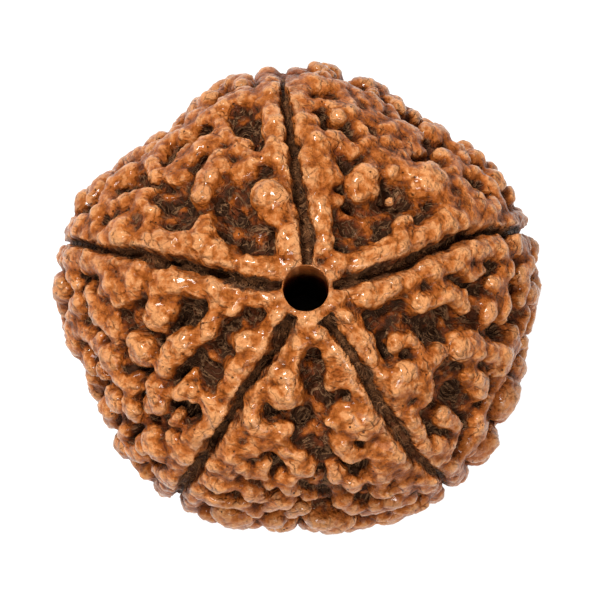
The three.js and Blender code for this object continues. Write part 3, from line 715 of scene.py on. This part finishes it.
def drill_shape(made):
    half_length = HALF_HEIGHT + 1
    rings = []
    for z in np.arange(-half_length, half_length, CUT_GRID):
        ring = []
        for angle in np.arange(HOLE_SIDES) * TURN / HOLE_SIDES:
            x, y = HOLE_RADIUS * math.cos(angle), HOLE_RADIUS * math.sin(angle)
            ring.append(made.verts.new((HOLE_PLACE[0] + x, HOLE_PLACE[1] + y, z)))
        rings.append(ring)
    join_rings(made, rings)


def wear_shape(made):
    half = WEAR_CELLS / 2 * CUT_GRID
    bmesh.ops.create_grid(made, x_segments=WEAR_CELLS, y_segments=WEAR_CELLS, size=half)
    bmesh.ops.translate(made, verts=made.verts, vec=(0, 0, -MIDDLE_HEIGHT))
    lid = made.faces[:]
    walls = bmesh.ops.extrude_face_region(made, geom=lid)
    lowered = [part for part in walls["geom"] if isinstance(part, bmesh.types.BMVert)]
    bmesh.ops.translate(made, verts=lowered, vec=(0, 0, -WEAR_DROP))
    bmesh.ops.recalc_face_normals(made, faces=made.faces)


WEDGE_REACH = 2  # above the seed's outer form, where the wedge is widest
MOUTH_WIDTH = 0.95
EQUATOR_MOUTH = 0.45
BOTTOM_WIDTH = 0.3
WEDGE_STEPS = 12  # for each place on the groove's line
SLOT_SHARE = 0.76  # of the groove's depth, so that its floor stays as rough as the net left it
SLOT_AT_HOLE = 0.8  # of that depth, where the groove runs into the hole's mouth
WIDTH_AT_HOLE = {"east": 0.9, "north": 1.0, "west": 0.9, "south_west": 1.35, "south_east": 1.35}
SLOT_UNEVENNESS = 0.35  # how much the width changes from place to place
SLOT_WANDER = 0.12  # how far the wedge strays to either side of the groove's line


def slot_shape(line, widening):
    """A wedge along a groove: narrow at its bottom, of uneven width, and wider or narrower at the hole."""

    def make(made):
        places = np.arange(len(line))
        widths = np.array([1 + SLOT_UNEVENNESS * (2 * draw_number() - 1) for _ in places])
        strays = np.array([SLOT_WANDER * (2 * draw_number() - 1) for _ in places])
        steps = np.linspace(0, len(line) - 1, WEDGE_STEPS * len(line))
        path = unit(np.column_stack([np.interp(steps, places, line[:, k]) for k in range(3)]))
        form = outer_form(path)
        side = unit(np.cross(path, np.gradient(path, axis=0)))
        depth, open_up = full_groove_depth(path), opening(path, form)
        upper = SLOT_AT_HOLE + (1 - SLOT_AT_HOLE) * open_up
        bottom = form - SLOT_SHARE * np.where(path[:, 2] > 0, depth * upper, groove_depth(path, form))
        mouths = EQUATOR_MOUTH + (MOUTH_WIDTH - EQUATOR_MOUTH) * np.abs(path[:, 2]) ** 0.5
        widened = np.where(path[:, 2] > 0, widening + (1 - widening) * open_up, 1)
        uneven = np.interp(steps, places, widths) * widened
        stray = np.interp(steps, places, strays)
        rings = []
        for i, (way, across) in enumerate(zip(path, side)):
            rings.append([])
            for height, width, hand in (
                (form[i] + WEDGE_REACH, mouths[i], -1),
                (form[i] + WEDGE_REACH, mouths[i], 1),
                (bottom[i], BOTTOM_WIDTH, 1),
                (bottom[i], BOTTOM_WIDTH, -1),
            ):
                aside = stray[i] + hand * width * uneven[i] / 2
                rings[-1].append(made.verts.new(way * height + across * aside))
        join_rings(made, rings)

    return make


cutters = [cutter("drill", drill_shape), cutter("wear", wear_shape)]
for name, line in zip(GROOVES, groove_lines):
    cutters.append(cutter(name + " slot", slot_shape(line, WIDTH_AT_HOLE[name])))
for tool in cutters:
    cut = seed.modifiers.new(tool.name, "BOOLEAN")
    cut.operation = "DIFFERENCE"
    cut.solver = "MANIFOLD"
    cut.object = tool
print("Cutters:", [tool.name for tool in cutters])

# %% [markdown]
# ## The skin
# Smoothing rounds the joins between beads, then two sizes of bumps roughen the surface, but not the drilled
# wall or the worn foot. Last, the tree stores how far each place stands out of its surroundings, which the
# material uses: crests are rubbed and pale, and hollows are darker, partly from the dirt and oil they keep
# and partly as painted shade.

# %% Smoothing, bumps and what stands out
def blurred(bench, value, times):
    values = {0: value, "Iterations": times}
    return bench.wire("GeometryNodeBlurAttribute", {"data_type": "FLOAT_VECTOR"}, values)


def build_skin(bench, geometry, smoothing, lump_height, grain_height):
    place = bench.wire("GeometryNodeInputPosition")
    smoothed = {"Geometry": geometry, "Position": blurred(bench, place, smoothing)}
    geometry = bench.wire("GeometryNodeSetPosition", values=smoothed)
    normal = bench.wire("GeometryNodeInputNormal")
    bend = bench.wire("ShaderNodeTexNoise", values={"Vector": place, "Scale": 1.5, "Detail": 2.0}, output=1)
    bent = bench.vector("ADD", place, bench.scaled(bend, 0.6))
    lumps = bench.wire("ShaderNodeTexVoronoi", values={"Vector": bent, "Scale": 1.25})
    grain = bench.wire("ShaderNodeTexVoronoi", values={"Vector": bent, "Scale": 2.9})
    x, y, z = bench.coordinates(place)
    from_bore = bench.math("SQRT", (x - HOLE_PLACE[0]) ** 2 + (y - HOLE_PLACE[1]) ** 2)
    off_hole = bench.math("MULTIPLY", from_bore - HOLE_RADIUS - 0.05, 2.0, clamp=True)
    off_foot = bench.math("MULTIPLY", z + MIDDLE_HEIGHT - 0.05, 3.0, clamp=True)
    height = (lump_height * (0.55 - lumps) + grain_height * (0.5 - grain)) * off_hole * off_foot
    offset = bench.scaled(normal, height)
    geometry = bench.wire("GeometryNodeSetPosition", values={"Geometry": geometry, "Offset": offset})
    for name, times in (("crest_fine", 4), ("crest_wide", 30)):
        aside = bench.vector("SUBTRACT", place, blurred(bench, place, times))
        value = bench.vector("DOT_PRODUCT", aside, normal, output=1)
        geometry = bench.wire(
            "GeometryNodeStoreNamedAttribute",
            {"data_type": "FLOAT", "domain": "POINT"},
            {"Geometry": geometry, "Name": name, "Value": value},
        )
    return geometry


add_nodes_modifier(seed, "skin", build_skin, smoothing=2, lump_height=0.24, grain_height=0.1)

# %% The finished mesh, in metres
KEPT_SHARE = 0.55  # of the triangles, which leaves just under the 200,000 that a piece may have
slim = seed.modifiers.new("slim", "DECIMATE")
slim.ratio = KEPT_SHARE
graph = bpy.context.evaluated_depsgraph_get()
finished = bpy.data.meshes.new_from_object(seed.evaluated_get(graph))
print(sum(len(face.vertices) - 2 for face in finished.polygons), "triangles")
seed.modifiers.clear()
seed.data = finished
for tool in cutters:
    bpy.data.objects.remove(tool)

# %% Where each place is: how high, in the hole, in a groove or on a lip
points = np.empty(len(finished.vertices) * 3)
finished.vertices.foreach_get("co", points)
points = points.reshape(-1, 3)
directions = unit(points)
rise = np.linalg.norm(points, axis=1) - outer_form(directions)
from_hole = np.linalg.norm(points[:, :2] - HOLE_PLACE, axis=1)
in_hole = np.clip((HOLE_RADIUS + 0.12 - from_hole) / 0.1, 0, 1)
beside_groove = groove_distance(directions) / groove_half_width(directions)
in_groove = np.clip(2 * (1.2 - beside_groove), 0, 1) * np.clip(-(rise + 0.35) / 0.3, 0, 1) * (1 - in_hole)
groove_lip = np.clip(1 - np.abs(beside_groove - 1.3) / 0.45, 0, 1) * np.clip((rise + 0.7) / 0.3, 0, 1)
hole_lip = np.clip(1 - np.abs(from_hole - HOLE_RADIUS - 0.12) / 0.14, 0, 1) * (rise > -2)
lip = np.maximum(groove_lip, hole_lip)
for name, values in (("rise", rise), ("in_hole", in_hole), ("in_groove", in_groove), ("lip", lip)):
    finished.attributes.new(name, "FLOAT", "POINT").data.foreach_set("value", values)
finished.vertices.foreach_set("co", ((points + [0, 0, MIDDLE_HEIGHT]) * MM).ravel())
finished.update()
print("The surface lies between", rise.min().round(2), "and", rise.max().round(2), "mm of the outer form")

# %% [markdown]
# ## The finish
# Oil and handling have turned the ridge tops a warm orange tan with a waxy gloss. Their flanks are redder,
# and the valleys are dark brown, with pale threads where dust and fibres of the fruit have stayed. The lips
# of the grooves and of the hole are dry and paler. The stored values say how high and how exposed each
# place is, and colour, roughness, gloss and fine bumps all follow them. The colour is darker in low and
# hollow places, partly the stone's own darker valleys and partly painted shade, and it darkens down the
# drilled hole as painted shade. A picture wrapped round the seed would smear on its steep sides, so the
# patterns are made in space instead. Cells with rounded middles give the knobs their waxy facets, and the
# lines between some of the cells are fine creases.

# %% Material
def colour(red, green, blue):
    """A colour of the picture, from 0 to 255, as the light it stands for."""
    light = []
    for part in (red / 255, green / 255, blue / 255):
        light.append(part / 12.92 if part <= 0.04045 else ((part + 0.055) / 1.055) ** 2.4)
    return (*light, 1.0)


def mixed(bench, factor, first, second):
    values = {0: factor, 6: first, 7: second}
    return bench.wire("ShaderNodeMix", {"data_type": "RGBA"}, values, output=2)


def stored(bench, name):
    return bench.wire("ShaderNodeAttribute", {"attribute_name": name}, output=2)


def noise(bench, place, per_mm, detail=2.0, distortion=0.0, output=0):
    values = {"Vector": place, "Scale": per_mm / MM, "Detail": detail, "Distortion": distortion}
    return bench.wire("ShaderNodeTexNoise", values=values, output=output)


def cells(bench, place, per_mm, feature="F1"):
    values = {"Vector": place, "Scale": per_mm / MM}
    return bench.wire("ShaderNodeTexVoronoi", {"feature": feature}, values)


def threads(bench, place, per_mm, thinness, distortion):
    """Thin winding lines, 1 on a line and 0 between, where a noise passes its middle value."""
    field = noise(bench, place, per_mm, 3.0, distortion)
    return bench.math("SUBTRACT", 1.0, bench.math("ABSOLUTE", field - 0.5) * thinness, clamp=True)


KNOBS_PER_MM = 1.5


def finish_stone(material):
    material.use_nodes = True
    bench = Bench(material.node_tree)
    shader = material.node_tree.nodes["Principled BSDF"]
    place = bench.wire("ShaderNodeTexCoord", output=3)
    rise, in_hole = stored(bench, "rise"), stored(bench, "in_hole")
    fine, wide = stored(bench, "crest_fine"), stored(bench, "crest_wide")

    blotch = noise(bench, place, 0.9, 3.0)
    mottle = noise(bench, place, 2.6, 4.0)
    grain = noise(bench, place, 6.5, 3.0)
    fibres = threads(bench, place, 0.9, 18.0, 2.5)
    bent = bench.vector("ADD", place, bench.scaled(noise(bench, place, 1.4, output=1), 0.7 * MM))
    knobs = cells(bench, bent, KNOBS_PER_MM)
    edge = cells(bench, bent, KNOBS_PER_MM, "DISTANCE_TO_EDGE")
    in_places = bench.math("MULTIPLY", blotch - 0.48, 5.0, clamp=True)
    crease = bench.math("SUBTRACT", 1.0, edge * 12, clamp=True) * in_places
    halo = bench.math("SUBTRACT", 1.0, bench.math("ABSOLUTE", edge - 0.14) * 13, clamp=True) * in_places
    pinholes = bench.math("MULTIPLY", 0.1 - cells(bench, place, 1.7), 30.0, clamp=True)

    # Lower and hollower places get a darker colour: partly the stone's own darker valleys, partly painted
    # shade.
    outside = 0.66 + rise * 0.42 + wide * 1.3 + fine * 4.0 + (blotch - 0.5) * 0.6 + (mottle - 0.5) * 0.8
    outside = outside + (grain - 0.5) * 0.5 - crease * 0.14 + halo * 0.08
    # The drilled wall's colour darkens with depth down the hole: painted shade.
    hole_wall_with_painted_shade = 0.8 + rise * 0.03
    exposure_with_painted_shade = bench.math("ADD", outside * (1 - in_hole), hole_wall_with_painted_shade * in_hole, clamp=True)
    base = bench.wire(
        "ShaderNodeValToRGB",
        {"stops": [
            (0.0, colour(34, 11, 1)),
            (0.25, colour(86, 36, 9)),
            (0.5, colour(134, 67, 17)),
            (0.75, colour(170, 97, 42)),
            (1.0, colour(204, 142, 92)),
        ]},
        {"Fac": exposure_with_painted_shade},
    )
    red_patches = bench.math("MULTIPLY", noise(bench, place, 0.45, 2.0) - 0.5, 2.5, clamp=True)
    base = mixed(bench, red_patches * 0.5, base, colour(126, 52, 14))
    base = mixed(bench, pinholes * 0.8, base, colour(50, 20, 4))
    in_valley = bench.math("SUBTRACT", 1.0, exposure_with_painted_shade * 2.0, clamp=True)
    dusty = in_valley * (0.05 + 0.8 * fibres) * (1 - in_hole)
    base = mixed(bench, dusty, base, colour(160, 116, 80))
    patches = bench.math("MULTIPLY", mottle - 0.38, 2.5, clamp=True)
    groove_dust = stored(bench, "in_groove") * (0.6 * patches + 0.5 * fibres)
    dry_lip = stored(bench, "lip") * (0.7 * patches + 0.3 * fibres)
    base = mixed(bench, groove_dust, base, colour(146, 94, 56))
    base = mixed(bench, dry_lip, base, colour(196, 148, 108))

    rough = 0.6 - 0.25 * exposure_with_painted_shade + (mottle - 0.5) * 0.5
    height = 0.55 * mottle + 0.35 * grain - 0.7 * knobs - 0.2 * crease - 0.5 * pinholes
    height = height + fibres * in_valley * 0.4
    bumps = bench.wire("ShaderNodeBump", values={"Strength": 1.0, "Distance": 0.45 * MM, "Height": height})
    links = material.node_tree.links
    links.new(base.socket, shader.inputs["Base Color"])
    links.new(rough.socket, shader.inputs["Roughness"])
    links.new(bumps.socket, shader.inputs["Normal"])
    links.new((exposure_with_painted_shade**2 * 0.6).socket, shader.inputs["Coat Weight"])
    shader.inputs["Coat Roughness"].default_value = 0.09
    shader.inputs["Coat IOR"].default_value = 1.4
    shader.inputs["Coat Tint"].default_value = (1.0, 0.9, 0.75, 1.0)
    shader.inputs["Specular IOR Level"].default_value = 0.08
    print("The finish has", len(material.node_tree.nodes), "nodes")


finish_stone(STONE)
finished.materials.clear()
finished.materials.append(STONE)
for face in finished.polygons:
    face.use_smooth, face.material_index = True, 0
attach(seed, "root")
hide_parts("rudraksha_seed")

# %% [markdown]
# ## Floor, light and camera
# The picture is taken from almost straight above through a long lens, in even white light and without a
# shadow. So the table is pale and also lit from below, as a photographer's light table is. Right under the
# seed its glow stops, a painted shadow, or light would shine up through the drilled hole.

# %% Floor
GLOW_START = 6  # the radius at which the glow begins, and the width over which it grows
GLOW_WIDTH = 4


def floor_material():
    """A white table that glows from below, with a painted shadow where the seed stands on it."""
    material = bpy.data.materials.new("pale floor")
    material.use_nodes = True
    bench = Bench(material.node_tree)
    shader = material.node_tree.nodes["Principled BSDF"]
    from_middle = bench.vector("LENGTH", bench.wire("ShaderNodeTexCoord", output=3), output=1)
    # Inside GLOW_START there is no glow: a painted shadow under the seed.
    lit = bench.math("SUBTRACT", from_middle / (GLOW_WIDTH * MM), GLOW_START / GLOW_WIDTH, clamp=True)
    glow = bench.wire("ShaderNodeCombineXYZ", values={0: lit, 1: lit, 2: lit})
    material.node_tree.links.new(glow.socket, shader.inputs["Emission Color"])
    shader.inputs["Base Color"].default_value = (0.4, 0.4, 0.4, 1)
    shader.inputs["Roughness"].default_value = 0.9
    shader.inputs["Emission Strength"].default_value = 0.7
    return material


floor_mesh = bpy.data.meshes.new("floor")
FLOOR_HALF = 1.0
corners = [(x * FLOOR_HALF, y * FLOOR_HALF, 0) for x, y in ((-1, -1), (1, -1), (1, 1), (-1, 1))]
floor_mesh.from_pydata(corners, [], [(0, 1, 2, 3)])
floor_mesh.materials.append(floor_material())
floor = bpy.data.objects.new("floor", floor_mesh)
bpy.context.collection.objects.link(floor)

# %% Lights
seed_middle = Vector((0, 0, MIDDLE_HEIGHT * MM))


def soft_light(name, azimuth, elevation, distance, size, watts):
    lamp = bpy.data.lights.new(name, "AREA")
    lamp.shape, lamp.size, lamp.energy = "DISK", size, watts
    light = bpy.data.objects.new(name, lamp)
    flat = math.cos(math.radians(elevation)) * distance
    turned = math.radians(azimuth)
    light.location = seed_middle + Vector(
        (flat * math.cos(turned), flat * math.sin(turned), math.sin(math.radians(elevation)) * distance)
    )
    light.rotation_euler = (seed_middle - light.location).to_track_quat("-Z", "Y").to_euler()
    bpy.context.collection.objects.link(light)


soft_light("key", azimuth=125, elevation=55, distance=0.35, size=0.08, watts=1.35)
soft_light("fill", azimuth=-60, elevation=50, distance=0.4, size=0.2, watts=0.45)
soft_light("top", azimuth=-90, elevation=68, distance=0.5, size=0.1, watts=1.1)
world = bpy.data.worlds.new("studio")
world.use_nodes = True
world.node_tree.nodes["Background"].inputs["Color"].default_value = (1, 1, 1, 1)
world.node_tree.nodes["Background"].inputs["Strength"].default_value = 0.25
bpy.context.scene.world = world
bpy.context.scene.view_settings.view_transform = "Standard"
print("Lights:", [light.name for light in bpy.data.lights])

# %% Camera
PICTURE_SIZE = 600
SENSOR = 36.0
lens = bpy.data.cameras.new("camera")
lens.sensor_width = SENSOR
lens.lens = SENSOR * EYE_DISTANCE / (PICTURE_SIZE / UNITS_PER_MM)
lens.clip_start, lens.clip_end = 0.01, 10
camera = bpy.data.objects.new("camera", lens)
off_right = (PICTURE_SIZE / 2 - DRAWING_CENTRE[0]) / UNITS_PER_MM
off_up = (DRAWING_CENTRE[1] - PICTURE_SIZE / 2) / UNITS_PER_MM
middle = Vector((0, 0, MIDDLE_HEIGHT)) + Vector(RIGHT * off_right + UP * off_up)
camera.location = (middle + Vector(TO_EYE) * EYE_DISTANCE) * MM
camera.rotation_euler = (EYE_LEAN, 0, 0)
bpy.context.collection.objects.link(camera)
bpy.context.scene.camera = camera
print("A lens of", round(lens.lens), "mm at", camera.location)
